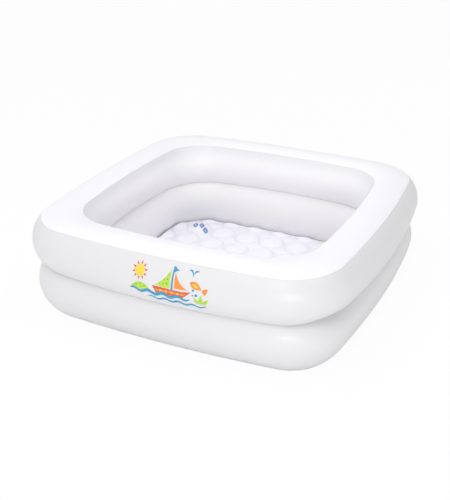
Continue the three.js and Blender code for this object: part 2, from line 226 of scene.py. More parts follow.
def round_outline(half, radius, bow, turn):
    """Points at a share of a full turn round the pool, anticlockwise from above."""
    corner, centre, arc_radius, spread = side_arc(half, radius, bow)
    quarter = np.floor(turn * 4)
    part = turn * 4 - quarter
    on_side = part < SIDE_PART
    side_angle = spread * (2 * part / SIDE_PART - 1)
    corner_angle = spread + (math.pi / 2 - 2 * spread) * (part - SIDE_PART) / (1 - SIDE_PART)
    x = np.where(on_side, centre + arc_radius * np.cos(side_angle), corner + radius * np.cos(corner_angle))
    y = np.where(on_side, arc_radius * np.sin(side_angle), corner + radius * np.sin(corner_angle))
    angle = quarter * math.pi / 2
    return x * np.cos(angle) - y * np.sin(angle), x * np.sin(angle) + y * np.cos(angle)


def mix(low, high, share):
    """The outline that lies at a share of the way from one weld to another."""
    return [low[at] + (high[at] - low[at]) * share for at in range(4)]


print(f"outline of the rim: {2 * side_reach(*RIM_OUTER[:3], 0) / MM:.0f} mm across its sides")

# %% [markdown]
# ## Helpers for meshes
# A mesh with thousands of points is best changed all at once, so its points are read into one array and
# written back. Each new piece is finished in the same way: it gets its name, its material, smooth faces
# and the body it moves with, and the imported nodes that it stands in for are hidden. An operator acts
# on all that is selected, so everything is deselected before a primitive is added.

# %% Define the helpers for meshes
def deselect_all():
    bpy.ops.object.select_all(action="DESELECT")


def points_of(mesh):
    places = np.empty(len(mesh.vertices) * 3)
    mesh.vertices.foreach_get("co", places)
    return places.reshape(-1, 3)


def set_points(mesh, places):
    mesh.vertices.foreach_set("co", np.ascontiguousarray(places, dtype=float).ravel())
    mesh.update()


def normals_of(mesh):
    normals = np.empty(len(mesh.vertices) * 3)
    mesh.vertex_normals.foreach_get("vector", normals)
    return normals.reshape(-1, 3)


def mark_points(mesh, name, values):
    """Store a value for each point, which outlives a merge and can be read by a material."""
    mesh.attributes.new(name, "FLOAT", "POINT").data.foreach_set("value", values.astype(np.float32))


def apply_modifier(piece, kind, **settings):
    modifier = piece.modifiers.new(kind.title(), kind)
    for name, value in settings.items():
        setattr(modifier, name, value)
    bpy.context.view_layer.objects.active = piece
    bpy.ops.object.modifier_apply(modifier=modifier.name)


def finish_piece(piece, name, finish, slot, body, *nodes):
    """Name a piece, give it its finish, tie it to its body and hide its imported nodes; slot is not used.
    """
    piece.name = name
    piece.data.name = name
    piece.data.materials.clear()
    piece.data.materials.append(finish)
    for face in piece.data.polygons:
        face.use_smooth = True
    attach(piece, body)
    if nodes:
        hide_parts(*nodes)
    size = points_of(piece.data).max(0) - points_of(piece.data).min(0)
    print(f"{name}: {len(piece.data.polygons)} faces, " + " x ".join(f"{s / MM:.1f}" for s in size) + " mm")
    return piece


# %% [markdown]
# ## Sheets under air
# Air pushes a sheet between two straight welds into a part of a circle, so a wall's profile is an arc
# with a given bulge. At the crease the weld is pulled in between the rings, by little along the sides and
# by more in the corners. Just round the front right corner the crease has one deep fold, where the upper
# ring hangs over the lower one and shades it. Each fold only lowers the arc near the crease, so the rest
# stays round.

# %% Define the profile of a wall
SIDE_FOLD = 1.6 * MM
CORNER_FOLD = 3 * MM
CORNER_MIDDLE = (1 + SIDE_PART) / 2
FOLD_SPREAD = 0.17       # a share of a quarter turn
FOLD_REACH = 2.6 * MM
DEEP_FOLD = 22 * MM
DEEP_FOLD_TURN = 0.995   # a share of the full turn: just past the front right corner, on the right side
DEEP_FOLD_SPREAD = 0.035  # a share of the full turn too
DEEP_FOLD_REACH = 16 * MM


def swell_of(chord, bulge, share):
    """How far an arc stands out from its chord, at a share of the way along it."""
    arc_radius = (chord ** 2 / 4 + bulge ** 2) / (2 * abs(bulge))
    from_centre = np.sqrt(arc_radius ** 2 - ((share - 0.5) * chord) ** 2)
    return np.sign(bulge) * (from_centre - (arc_radius - abs(bulge)))


def fold_depth(turn):
    """How far the crease weld is pulled in: by little along the sides, and by more in the corners."""
    part = turn * 4 - np.floor(turn * 4)
    from_corner = np.minimum(np.abs(part - CORNER_MIDDLE), 1 - np.abs(part - CORNER_MIDDLE))
    return SIDE_FOLD + (CORNER_FOLD - SIDE_FOLD) * np.exp(-((from_corner / FOLD_SPREAD) ** 2))


def deep_fold(turn):
    """The one deep fold of the outer crease, where the upper ring hangs over the lower one."""
    away = np.abs(turn - DEEP_FOLD_TURN)
    return DEEP_FOLD * np.exp(-((np.minimum(away, 1 - away) / DEEP_FOLD_SPREAD) ** 2))


def wall_place(low, high, bulge):
    """A wall sheet, where turn is the share of the way round and share that of the way up."""
    def place(turn, share):
        half, radius, bow, height = mix(low, high, share)
        from_crease = abs(height - CREASE_OUTER[3])
        swell = swell_of(high[3] - low[3], bulge, share)
        swell = swell - np.sign(bulge) * fold_depth(turn) * np.exp(-from_crease / FOLD_REACH)
        if bulge > 0:
            swell = swell - deep_fold(turn) * np.exp(-((from_crease / DEEP_FOLD_REACH) ** 2))
        x, y = round_outline(half + swell, radius + swell, bow, turn)
        return np.stack([x, y, height], axis=-1)
    return place


print(f"the crease is pulled in by {fold_depth(SIDE_PART / 8) / MM:.1f} mm at the middle of a side,",
      f"and by {(fold_depth(DEEP_FOLD_TURN) + deep_fold(DEEP_FOLD_TURN)) / MM:.1f} mm in its deep fold")

# %% [markdown]
# ## A strip of film
# Near a weld, and most of all in the corners, a sheet is too long for its new shape and gathers in small
# puckers, and between the welds it is a little slack. A strip is added as a plain grid, which brings a
# neat UV map, and its points are then moved to their places by these formulas: no modelling tool bends a
# strip round a rounded square with an arc for its profile. The ends are merged, the puckers are pressed
# in along the normals, and Solidify gives the film its gauge. The zone by the rim is marked, so that the
# finish darkens the white there: painted shade under the rim's edge.

# %% Define how a strip of film is made
STRIP_COLUMNS = 800
WALL_ROWS = 28
RIM_ROWS = 24
PUCKER_REACH = 11 * MM
PUCKER_SPREAD = 0.24     # a share of a quarter turn
CORNER_PUCKER = 0.2 * MM
SIDE_PUCKER = 0.04 * MM
SLACK_WAVE = 0.15 * MM
RIM_SHADE_REACH = 24 * MM
TRUE_EDGE = 2 * MM       # the film lies true on its weld, and comes loose over this distance
MERGE_REACH = 0.02 * MM


def pucker_depth(turn, edge_distance, seed):
    """Little gathers square to the weld, deep in the corners and fading away from the weld."""
    part = turn * 4 - np.floor(turn * 4)
    corner = np.clip(1 - np.abs(part - CORNER_MIDDLE) / PUCKER_SPREAD, 0, 1) ** 0.7
    phase = turn * 2 * math.pi
    # two sets of gathers, 118 and 76 all round, each spread unevenly by a slower wave
    gathers = np.sin(phase * 118 + seed + 2.3 * np.sin(phase * 13 + seed))
    gathers += 0.6 * np.sin(phase * 76 + 1.7 * seed + 1.9 * np.sin(phase * 9 - seed))
    # a third slow wave lets them fade here and there
    presence = 0.55 + 0.45 * np.sin(phase * 17 + 3.1 * seed)
    fade = np.exp(-((edge_distance / PUCKER_REACH) ** 2))
    return gathers * presence * fade * (SIDE_PUCKER + (CORNER_PUCKER - SIDE_PUCKER) * corner)


def slack_waves(turn, share, seed):
    """Broad waves, 11 and 23 all round, that die out at the welds."""
    phase = turn * 2 * math.pi
    long_wave = np.sin(phase * 11 + seed) * np.sin(math.pi * share)
    short_wave = 0.7 * np.sin(phase * 23 + 2 * seed + 4 * share)
    return SLACK_WAVE * (long_wave + short_wave) * np.sin(math.pi * np.clip(share, 0, 1))


def film_strip(rows, place, length, seed, rim_share=None):
    """A strip of film all the way round; length is its width in metres, from weld to weld."""
    deselect_all()
    bpy.ops.mesh.primitive_grid_add(x_subdivisions=STRIP_COLUMNS, y_subdivisions=rows, size=1)
    strip = bpy.context.object
    flat = points_of(strip.data) + 0.5
    turn = np.clip(flat[:, 0], 0, 1) % 1.0
    share = 0.5 - 0.5 * np.cos(math.pi * np.clip(flat[:, 1], 0, 1))
    set_points(strip.data, place(turn, share))
    edge = np.minimum(share, 1 - share) * length
    looseness = np.clip(edge / TRUE_EDGE, 0, 1)
    depth = (pucker_depth(turn, edge, seed) + slack_waves(turn, share, seed)) * looseness
    mark_points(strip.data, "depth", depth)
    # painted shade: this mark darkens the film's white in a band below the rim's edge
    if rim_share is not None:
        from_rim = np.abs(share - rim_share) * length
        mark_points(strip.data, "rim_press", np.exp(-((from_rim / RIM_SHADE_REACH) ** 2)))
    bpy.ops.object.mode_set(mode="EDIT")
    bpy.ops.mesh.select_all(action="SELECT")
    bpy.ops.mesh.remove_doubles(threshold=MERGE_REACH)
    bpy.ops.object.mode_set(mode="OBJECT")
    depth = np.empty(len(strip.data.vertices), dtype=np.float32)
    strip.data.attributes["depth"].data.foreach_get("value", depth)
    set_points(strip.data, points_of(strip.data) + normals_of(strip.data) * depth[:, None])
    strip.data.attributes.remove(strip.data.attributes["depth"])
    return strip


def thicken(sheet):
    apply_modifier(sheet, "SOLIDIFY", thickness=FILM, offset=-1.0)


way_round = 8 * side_reach(*RIM_OUTER[:3], 0)
print(f"a strip's columns are about {way_round / STRIP_COLUMNS / MM:.0f} mm apart")

# %% [markdown]
# ## The walls
# Each ring has an outer and an inner wall. They share the crease weld, where the pool folds in, and that
# is what makes two rings of one tube. The inner walls are wrapped with their strip turned over, so that
# their faces look into the basin. The outer walls get their valve holes further on, once the valves have
# found their seats.

# %% Make the four walls
upper_outer_place = wall_place(CREASE_OUTER, RIM_OUTER, bulge=27 * MM)
lower_outer_place = wall_place(FOOT_OUTER, CREASE_OUTER, bulge=29 * MM)
upper_inner_place = wall_place(CREASE_INNER, RIM_INNER, bulge=-22 * MM)
lower_inner_place = wall_place(FOOT_INNER, CREASE_INNER, bulge=-21 * MM)


def turned_over(place):
    """The same sheet from its high weld to its low one, which makes its faces look the other way."""
    return lambda turn, share: place(turn, 1 - share)


# the last number of each strip shifts its puckers and waves, so that no two walls have the same ones
upper_outer_film = film_strip(
    WALL_ROWS, upper_outer_place, RIM_OUTER[3] - CREASE_OUTER[3], 0.4, rim_share=1)
lower_outer_film = film_strip(WALL_ROWS, lower_outer_place, CREASE_OUTER[3] - FOOT_OUTER[3], 1.9)
upper_inner_film = film_strip(
    WALL_ROWS, turned_over(upper_inner_place), RIM_INNER[3] - CREASE_INNER[3], 3.3, rim_share=0)
lower_inner_film = film_strip(
    WALL_ROWS, turned_over(lower_inner_place), CREASE_INNER[3] - FOOT_INNER[3], 4.8)
for wall, name in ((upper_inner_film, "upper_inner"), (lower_inner_film, "lower_inner")):
    thicken(wall)
    finish_piece(wall, f"{name}_film", basin_film_painted_light, "wall_vinyl", "pool", f"{name}_wall")

# %% [markdown]
# ## The rim
# The rim is the bright white panel on top, where a parent's arm or a bath towel rests. It is wider than
# it is blown up: the web below holds the ring's width, so the panel only crowns by a few millimetres. Its
# strip runs from the outer weld inwards over the crown, which makes its faces look up.

# %% Make the rim
RIM_CROWN = 8 * MM


def rim_place(turn, share):
    half, radius, bow, height = mix(RIM_OUTER, RIM_INNER, share)
    x, y = round_outline(half, radius, bow, turn)
    return np.stack([x, y, height + RIM_CROWN * (1 - (2 * share - 1) ** 2)], axis=-1)


rim_film = film_strip(RIM_ROWS, rim_place, RIM_OUTER[0] - RIM_INNER[0], 2.6)
thicken(rim_film)
finish_piece(rim_film, "rim_film", rim_film_finish, "rim_vinyl", "pool", "rim_top_sheet")

# %% [markdown]
# ## The web
# Between the two rings lies a flat web. It keeps the air of one ring from the other, so the pool stays up
# when one is pierced, and it shows only as an edge in the crease. Its edges follow the folds of the crease.
# It is one more strip of film, and a few rows are enough for it, because it doesn't bend.

# %% Make the web
WEB_ROWS = 4


def web_place(turn, share):
    half, radius, bow, height = mix(CREASE_INNER, CREASE_OUTER, share)
    pull = fold_depth(turn) * (1 - 2 * share) - deep_fold(turn) * share
    half, radius = half + pull, radius + pull
    x, y = round_outline(half, radius, bow, turn)
    return np.stack([x, y, np.full_like(x, CREASE_OUTER[3] - FILM / 2)], axis=-1)


web_film = film_strip(WEB_ROWS, turned_over(web_place), CREASE_OUTER[0] - CREASE_INNER[0], 5.5)
thicken(web_film)
finish_piece(web_film, "web_film", web_film_finish, "web_vinyl", "pool", "ring_divider")

# %% [markdown]
# ## The weld beads
# Where two sheets are welded, a hot bar squeezes out a narrow bead. Each bead is a circle of a few corners
# swept along its weld, made as a curve with a bevel, which is the usual way to make anything of an even
# section, and turned into a mesh. The bead at the floor's edge is darker, as the line in the photograph
# is: painted shade where the basin's wall meets the floor.

# %% Make the weld beads
BEAD_RADIUS = 0.55 * MM
BEAD_ROUNDNESS = 2       # the bevel's resolution, which gives a circle of eight corners
BEAD_POINTS = 640
FLOOR_BEAD_LIFT = 1.2 * MM
FLOOR_BEAD_INSET = 1 * MM

bead_turn = np.arange(BEAD_POINTS) / BEAD_POINTS


def weld_bead(name, weld, finish, slot, lift=0.0, inset=0.0):
    """A bead along a weld, which may lie a little higher or further in than the weld's outline."""
    x, y = round_outline(weld[0] - inset, weld[1] - inset, weld[2], bead_turn)
    line_points = np.stack([x, y, np.full_like(x, weld[3] + lift), np.ones_like(x)], axis=-1)
    bpy.ops.curve.primitive_bezier_circle_add()
    line = bpy.context.object
    line.data.splines.clear()
    spline = line.data.splines.new("POLY")
    spline.points.add(BEAD_POINTS - 1)
    spline.points.foreach_set("co", line_points.ravel())
    spline.use_cyclic_u = True
    line.data.bevel_depth = BEAD_RADIUS
    line.data.bevel_resolution = BEAD_ROUNDNESS
    deselect_all()
    line.select_set(True)
    bpy.ops.object.convert(target="MESH")
    return finish_piece(bpy.context.object, name, finish, slot, "pool")


weld_bead("rim_outer_weld", RIM_OUTER, rim_film_finish, "rim_vinyl", inset=FILM)
weld_bead("rim_inner_weld", RIM_INNER, rim_film_finish, "rim_vinyl", inset=-FILM)
outer_inset = fold_depth(bead_turn) + deep_fold(bead_turn)
weld_bead("crease_outer_weld", CREASE_OUTER, outer_film_painted_shade, "wall_vinyl", inset=outer_inset)
weld_bead("crease_inner_weld", CREASE_INNER, outer_film_painted_shade, "wall_vinyl", inset=-fold_depth(bead_turn))
weld_bead("foot_outer_weld", FOOT_OUTER, outer_film_painted_shade, "wall_vinyl", lift=FILM)
# this bead's dark finish is painted shade along the foot of the basin's wall
weld_bead(
    "foot_inner_weld", FOOT_INNER, floor_edge_shade_finish, "wall_vinyl", lift=FLOOR_BEAD_LIFT, inset=FLOOR_BEAD_INSET)

# %% [markdown]
# ## The bubble floor
# The floor's top sheet is welded to the base sheet round each bubble, in a square net, so it lies soft
# under a baby. A bubble is a low round dome with a pressed line round it, and the little diamonds between
# the lines rise slightly too. Along the walls the domes are cut short, and the foot weld holds them down.
# The floor's valve sits on a dome with a flat top. One formula gives the height of every spot and says
# how much of a weld line there is, which the floor's finish darkens as painted shade round each dome.

# %% Give the bubble floor its heights
PITCH = 79.5 * MM
BUBBLE_SHIFT = np.array([12.0, -6.0]) * MM
BUBBLE_RADIUS = 36.5 * MM
BUBBLE_RISE = 13 * MM
DOME_FULLNESS = 0.8      # 1 gives a plain parabola, and less makes the dome rise more steeply from its weld
WHOLE_DOME = 38 * MM     # a dome is whole when its centre lies this far inside the foot weld
WALL_HOLD = 18 * MM
VALVE_CELL = np.array([2, -2])
VALVE_DOME_RISE = 12 * MM
VALVE_FLAT = 19 * MM
DIAMOND_REACH = 16 * MM
DIAMOND_RISE = 1.6 * MM
WELD_WIDTH = 3.6 * MM
WELD_DEPTH = 0.2 * MM
NET_TOP = 0.9 * MM


def depth_inside(weld, x, y):
    """How far a spot lies inside a weld outline, whose bow is left out."""
    across = np.abs(x) - (weld[0] - weld[1])
    along = np.abs(y) - (weld[0] - weld[1])
    corner = np.hypot(np.maximum(across, 0), np.maximum(along, 0))
    return weld[1] - corner - np.minimum(np.maximum(across, along), 0)


def smooth_step(value):
    """A soft step from 0 to 1, level at both ends."""
    value = np.clip(value, 0, 1)
    return value * value * (3 - 2 * value)


def floor_height(x, y):
    """The floor top sheet's height, and how much painted shade its weld lines get, at each spot."""
    cell = np.round((np.stack([x, y], -1) - BUBBLE_SHIFT) / PITCH)
    centre = cell * PITCH + BUBBLE_SHIFT
    from_centre = np.hypot(x - centre[..., 0], y - centre[..., 1])
    whole = depth_inside(FOOT_INNER, centre[..., 0], centre[..., 1]) >= WHOLE_DOME
    held_down = smooth_step(depth_inside(FOOT_INNER, x, y) / WALL_HOLD)
    dome = BUBBLE_RISE * np.clip(1 - (from_centre / BUBBLE_RADIUS) ** 2, 0, 1) ** DOME_FULLNESS
    flat_dome = VALVE_DOME_RISE * smooth_step((BUBBLE_RADIUS - from_centre) / (BUBBLE_RADIUS - VALVE_FLAT))
    carries_valve = (cell == VALVE_CELL).all(-1)
    dome = np.where(carries_valve, flat_dome, dome) * np.where(whole, 1, held_down)
    to_corner = np.hypot(PITCH / 2 - np.abs(x - centre[..., 0]), PITCH / 2 - np.abs(y - centre[..., 1]))
    diamond = DIAMOND_RISE * smooth_step(1 - to_corner / DIAMOND_REACH)
    weld_line = np.exp(-(((from_centre - BUBBLE_RADIUS) / WELD_WIDTH) ** 2))
    return NET_TOP + dome + diamond * held_down - WELD_DEPTH * weld_line, weld_line * held_down


valve_spot = VALVE_CELL * PITCH + BUBBLE_SHIFT
print(f"the dome under the floor's valve is {floor_height(*valve_spot)[0] / MM:.1f} mm high")

# %% [markdown]
# ## Sheets trimmed to their weld
# A flat sheet could be one filled outline, but it needs points all over to be lifted into domes. So it
# starts as a square grid. The faces that lie wholly outside its weld are deleted, and the points that
# still stick out are brought in to the weld, which gives the sheet its rounded outline without a ragged
# edge.

# %% Define how a sheet is trimmed
GRID_OVERRUN = 1 * MM
UNMOVED = 0.001 * MM


def bring_inside(weld, places):
    """Points beyond a weld outline are moved onto it, square to the outline."""
    x, y = places[:, 0], places[:, 1]
    corner = weld[0] - weld[1]
    in_corner = (np.abs(x) > corner) & (np.abs(y) > corner)
    from_corner = np.hypot(np.abs(x) - corner, np.abs(y) - corner)
    pull = np.where(in_corner & (from_corner > weld[1]), weld[1] / np.maximum(from_corner, MM), 1)
    x_in = np.where(in_corner, np.sign(x) * (corner + (np.abs(x) - corner) * pull), x)
    y_in = np.where(in_corner, np.sign(y) * (corner + (np.abs(y) - corner) * pull), y)
    at_left_or_right = np.abs(x) >= np.abs(y)
    offset = np.minimum(np.where(at_left_or_right, np.abs(y), np.abs(x)), corner)
    limit = side_reach(*weld[:3], offset)
    x_in = np.where(~in_corner & at_left_or_right, np.clip(x_in, -limit, limit), x_in)
    y_in = np.where(~in_corner & ~at_left_or_right, np.clip(y_in, -limit, limit), y_in)
    return np.stack([x_in, y_in], -1)


def trimmed_grid(cells, weld):
    """A flat grid trimmed to a weld outline."""
    reach = weld[0] + weld[2] + GRID_OVERRUN
    deselect_all()
    bpy.ops.mesh.primitive_grid_add(x_subdivisions=cells, y_subdivisions=cells, size=2 * reach)
    sheet = bpy.context.object
    flat = points_of(sheet.data)
    outside = np.hypot(*(bring_inside(weld, flat) - flat[:, :2]).T) > UNMOVED
    faces_outside = [bool(outside[list(face.vertices)].all()) for face in sheet.data.polygons]
    bpy.ops.object.mode_set(mode="EDIT")
    bpy.ops.mesh.select_all(action="DESELECT")
    bpy.ops.object.mode_set(mode="OBJECT")
    sheet.data.polygons.foreach_set("select", faces_outside)
    bpy.ops.object.mode_set(mode="EDIT")
    bpy.ops.mesh.select_mode(type="FACE")
    bpy.ops.mesh.delete(type="FACE")
    bpy.ops.object.mode_set(mode="OBJECT")
    flat = points_of(sheet.data)
    flat[:, :2] = bring_inside(weld, flat)
    set_points(sheet.data, flat)
    print(f"trimmed a grid to {len(sheet.data.polygons)} faces, {2 * reach / cells / MM:.1f} mm wide each")
    return sheet


# %% [markdown]
# ## The floor's two sheets
# The top sheet takes a fine grid, so that its domes are round and its weld lines sharp. Its points are
# lifted by the formula, and the strength of the weld line goes with them as an attribute, which sets the
# painted shade round each dome. The base sheet that the pool stands on is flat and unseen, so a coarse
# grid will do. The top sheet gets its gauge later, with its valve hole.

# %% Make the floor's top sheet and the base sheet
FLOOR_CELLS = 210
BASE_CELLS = 60
# painted shade: the floor's white is darkened along each weld line round the domes
WELD_LINE_SHADE = 0.26         # the share of the darker tint in the middle of a weld line

floor_film = trimmed_grid(FLOOR_CELLS, FOOT_INNER)
floor_points = points_of(floor_film.data)
floor_points[:, 2], weld_line = floor_height(floor_points[:, 0], floor_points[:, 1])
set_points(floor_film.data, floor_points)
mark_points(floor_film.data, "weld_line", WELD_LINE_SHADE * weld_line)

base_film = trimmed_grid(BASE_CELLS, FOOT_OUTER)
base_points = points_of(base_film.data)
base_points[:, 2] = FILM
set_points(base_film.data, base_points)
thicken(base_film)
finish_piece(base_film, "base_film", outer_film_painted_shade, "wall_vinyl", "pool", "base_sheet")

# %% [markdown]
# ## Safety valves
# Each air chamber has a safety valve: a flange welded to the film, a stem that pushes in flush, a flap
# that keeps the air in while the plug is out, and the plug on its strap. Each valve is made upright at
# the origin and then moved to its place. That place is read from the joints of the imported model: the
# slide gives the valve's axis, and the plug's hinge gives the side of its strap.

# %% Find the valve seats
HINGE_REACH = 9.75 * MM
HINGE_HEIGHT = 2.4 * MM
STEM_DEPTH = {"upper": 9.5 * MM, "lower": 9.5 * MM, "floor": 5.5 * MM}
joints = {joint["name"]: joint for joint in frame["joints"]}


def valve_frame(prefix):
    """The place of a valve, with y towards its plug's hinge and z out of the film."""
    outwards = Vector(joints[f"{prefix}_stem_slide"]["axis"]).normalized()
    hinge = joints[f"{prefix}_plug_hinge"]
    across = -Vector(hinge["axis"]).normalized()
    up = outwards.cross(across)
    seat = Vector(hinge["pos_m"]) - up * HINGE_REACH - outwards * HINGE_HEIGHT
    turn = Matrix((across, up, outwards)).transposed().to_4x4()
    return Matrix.Translation(seat) @ turn


valve_frames = {prefix: valve_frame(prefix) for prefix in STEM_DEPTH}
for prefix, place in valve_frames.items():
    print(prefix, "valve sits at", [round(value / MM, 1) for value in place.translation])

# %% [markdown]
# ## Holes for the valves
# The flange's collar goes through the film, so a sheet with a valve has a round hole. A Boolean modifier
# punches it with a cylinder, once Solidify has given the film its gauge. Before that, the film's height
# round the valve is measured with rays from outside, as one would feel for the surface with a pin,
# because the flange follows the film.

# %% Define how a film is measured and punched
FILM_HOLE_RADIUS = 7.6 * MM
FILM_HOLE_SIDES = 48
PUNCH_LENGTH = 30 * MM


def thicken_and_punch(sheet, place):
    thicken(sheet)
    deselect_all()
    bpy.ops.mesh.primitive_cylinder_add(
        vertices=FILM_HOLE_SIDES, radius=FILM_HOLE_RADIUS, depth=PUNCH_LENGTH)
    punch = bpy.context.object
    punch.data.transform(place)
    apply_modifier(sheet, "BOOLEAN", operation="DIFFERENCE", solver="EXACT", object=punch)
    bpy.data.objects.remove(punch)


def film_offsets(sheet, place, spots):
    """How far the film lies above a valve's own base plane, at spots in that plane."""
    back = place.inverted()
    inwards = -(place.to_3x3() @ Vector((0, 0, 1)))
    offsets = []
    for x, y in spots:
        start = place @ Vector((x, y, PUNCH_LENGTH / 2))
        found, hit, _, _ = sheet.ray_cast(start, inwards, distance=PUNCH_LENGTH)
        offsets.append((back @ hit).z if found else 0.0)
    return np.array(offsets)


# %% [markdown]
# ## Turned parts
# Seen along its axis, nearly all of a valve is round. Spin or Screw would turn a profile in one go. Here
# a circle is extruded, scaled and moved ring by ring, as one would do it by hand, so that each ring can
# be followed. The rings that meet are merged at the end. A moulding has no sharp corners, so a profile's
# corner may carry a radius. The strap and the flap's root aren't turned, and start as blocks.

# %% Define how a part is turned and rounded
VALVE_SIDES = 64
POLE = 0.01 * MM         # the radius of the pinhole that is left where a profile ends in the middle
RING_MERGE = 0.005 * MM


def turned(profile):
    """A turned form from (radius, height) pairs, made by extruding a circle along them."""
    deselect_all()
    radius, height = profile[0]
    bpy.ops.mesh.primitive_circle_add(vertices=VALVE_SIDES, radius=radius, location=(0, 0, height))
    part = bpy.context.object
    bpy.ops.object.transform_apply(location=True, rotation=True, scale=True)
    bpy.ops.object.mode_set(mode="EDIT")
    bpy.ops.mesh.select_all(action="SELECT")
    for next_radius, next_height in profile[1:]:
        bpy.ops.mesh.extrude_edges_move()
        grow = next_radius / radius
        bpy.ops.transform.resize(value=(grow, grow, 1), center_override=(0, 0, 0))
        bpy.ops.transform.translate(value=(0, 0, next_height - height))
        radius, height = next_radius, next_height
    bpy.ops.mesh.select_all(action="SELECT")
    bpy.ops.mesh.remove_doubles(threshold=RING_MERGE)
    bpy.ops.mesh.normals_make_consistent(inside=False)
    bpy.ops.object.mode_set(mode="OBJECT")
    return part


def rounded(profile, steps=4):
    """Profile points, with an arc in place of each corner that carries a third number, its radius."""
    points = []
    count = len(profile)
    for at, corner in enumerate(profile):
        spot = np.array(corner[:2])
        if len(corner) < 3:
            points.append(spot)
            continue
        before = np.array(profile[at - 1][:2]) - spot
        after = np.array(profile[(at + 1) % count][:2]) - spot
        start = spot + before / np.linalg.norm(before) * corner[2]
        end = spot + after / np.linalg.norm(after) * corner[2]
        for step in range(steps + 1):
            t = step / steps
            points.append((1 - t) ** 2 * start + 2 * t * (1 - t) * spot + t * t * end)
    return [(float(r), float(h)) for r, h in points]


def add_block(middle, size):
    """A block that is added as a cube at its place and size."""
    deselect_all()
    bpy.ops.mesh.primitive_cube_add(size=1, location=middle)
    block = bpy.context.object
    block.scale = size
    bpy.ops.object.transform_apply(location=True, rotation=True, scale=True)
    return block


def joined(*parts):
    """One piece from several, so that they move together and share a finish."""
    deselect_all()
    for part in parts:
        part.select_set(True)
    bpy.context.view_layer.objects.active = parts[0]
    bpy.ops.object.join()
    return parts[0]


# %% [markdown]
# ## Flange, stem and flap
# The flange is a thin disc with a groove near its edge, where the hot die welds it to the film, and a
# collar that guides the stem. After turning, its points are laid on the film: each keeps its height above
# it. The stem is a tube with a lip to pull it out by. The flap is a small disc under the stem, and its
# root holds it on one side.

# %% Define the flange, the stem and the flap
BORE = 6.45 * MM
COLLAR = 7.35 * MM
COLLAR_LOW = -3.2 * MM
FLANGE = 16 * MM
FLANGE_TOP = 1.3 * MM
FLANGE_THIN = 0.5 * MM
FLANGE_BEND = 2 * MM     # the way out from the collar over which the flange comes to follow the film
FLAP_THICKNESS = 0.6 * MM
FLAP_GAP = 0.3 * MM


def make_flange(sheet, place):
    profile = rounded([
        (BORE, COLLAR_LOW), (COLLAR, COLLAR_LOW), (COLLAR, 0.0), (FLANGE - 0.5 * MM, 0.0),
        (FLANGE, 0.1 * MM, 0.1 * MM), (FLANGE, FLANGE_THIN, 0.3 * MM),
        (FLANGE - 3.2 * MM, 0.75 * MM, 0.5 * MM), (FLANGE - 3.7 * MM, FLANGE_THIN, 0.3 * MM),
        (FLANGE - 4.6 * MM, FLANGE_THIN, 0.3 * MM), (FLANGE - 5.1 * MM, 1.0 * MM, 0.3 * MM),
        (COLLAR + 1.2 * MM, FLANGE_TOP, 0.6 * MM), (BORE, FLANGE_TOP, 0.3 * MM),
    ], 3)
    flange = turned(profile + [profile[0]])
    points = points_of(flange.data)
    reach = np.hypot(points[:, 0], points[:, 1])
    lift = film_offsets(sheet, place, points[:, :2]) * smooth_step((reach - COLLAR) / FLANGE_BEND)
    points[:, 2] += np.where(reach > COLLAR - POLE, lift, 0)
    set_points(flange.data, points)
    return flange


def make_stem(depth):
    bore, stem, lip = 4.4 * MM, 6.2 * MM, 9 * MM
    lip_low, lip_top = 1.6 * MM, 3.2 * MM
    profile = rounded([
        (bore, -depth, 0.2 * MM), (stem, -depth, 0.3 * MM), (stem, lip_low, 0.3 * MM),
        (lip, lip_low, 0.3 * MM), (lip, lip_top, 0.6 * MM), (bore, lip_top, 0.4 * MM),
    ])
    return turned(profile + [profile[0]])


def make_flap(depth):
    radius, edge = 5.1 * MM, 0.2 * MM
    top = -depth - FLAP_GAP
    low = top - FLAP_THICKNESS
    flap = turned(rounded([(POLE, top), (radius, top, edge), (radius, low, edge), (POLE, low)]))
    root = add_block((0, 4.4 * MM, top - FLAP_THICKNESS / 2), (3.2 * MM, 2.2 * MM, 0.5 * MM))
    apply_modifier(root, "BEVEL", width=0.15 * MM, segments=2)
    return joined(flap, root)


# %% [markdown]
# ## The plug
# The plug is a stopper with a recessed head as wide as a fingertip. On one side its strap runs out and
# turns down to the flange, where it bends like a hinge, and on the other side a tab sticks out for the
# thumb. The strap is a block: it is bisected across, and the outer part of its underside is extruded down
# into a foot.

# %% Define the plug
STRAP_THICKNESS = 0.9 * MM
STRAP_WIDTH = 3.6 * MM
HEAD_RADIUS = 6.8 * MM
HEAD_LOW = 3.5 * MM
STRAP_START = HEAD_RADIUS - 1.4 * MM
STRAP_LIFT = 0.1 * MM    # so that no face of the strap lies in a plane of the head
STRAP_MIDDLE = HEAD_LOW + STRAP_LIFT + STRAP_THICKNESS / 2
TAB_END = HEAD_RADIUS + 3.4 * MM
TAB_HALF = 2.2 * MM


def make_stopper():
    stopper, low, seat, top = 4.2 * MM, -1.2 * MM, 2.4 * MM, 4.7 * MM
    recess = top - 0.3 * MM
    return turned(rounded([
        (POLE, low), (stopper - 1.0 * MM, low, 0.3 * MM), (stopper - 0.6 * MM, low + 0.4 * MM, 0.2 * MM),
        (stopper, seat, 0.3 * MM), (stopper, HEAD_LOW), (HEAD_RADIUS, HEAD_LOW, 0.25 * MM),
        (HEAD_RADIUS, top, 0.45 * MM), (HEAD_RADIUS - 1.6 * MM, top, 0.3 * MM),
        (HEAD_RADIUS - 2.0 * MM, recess, 0.2 * MM), (POLE, recess),
    ]))


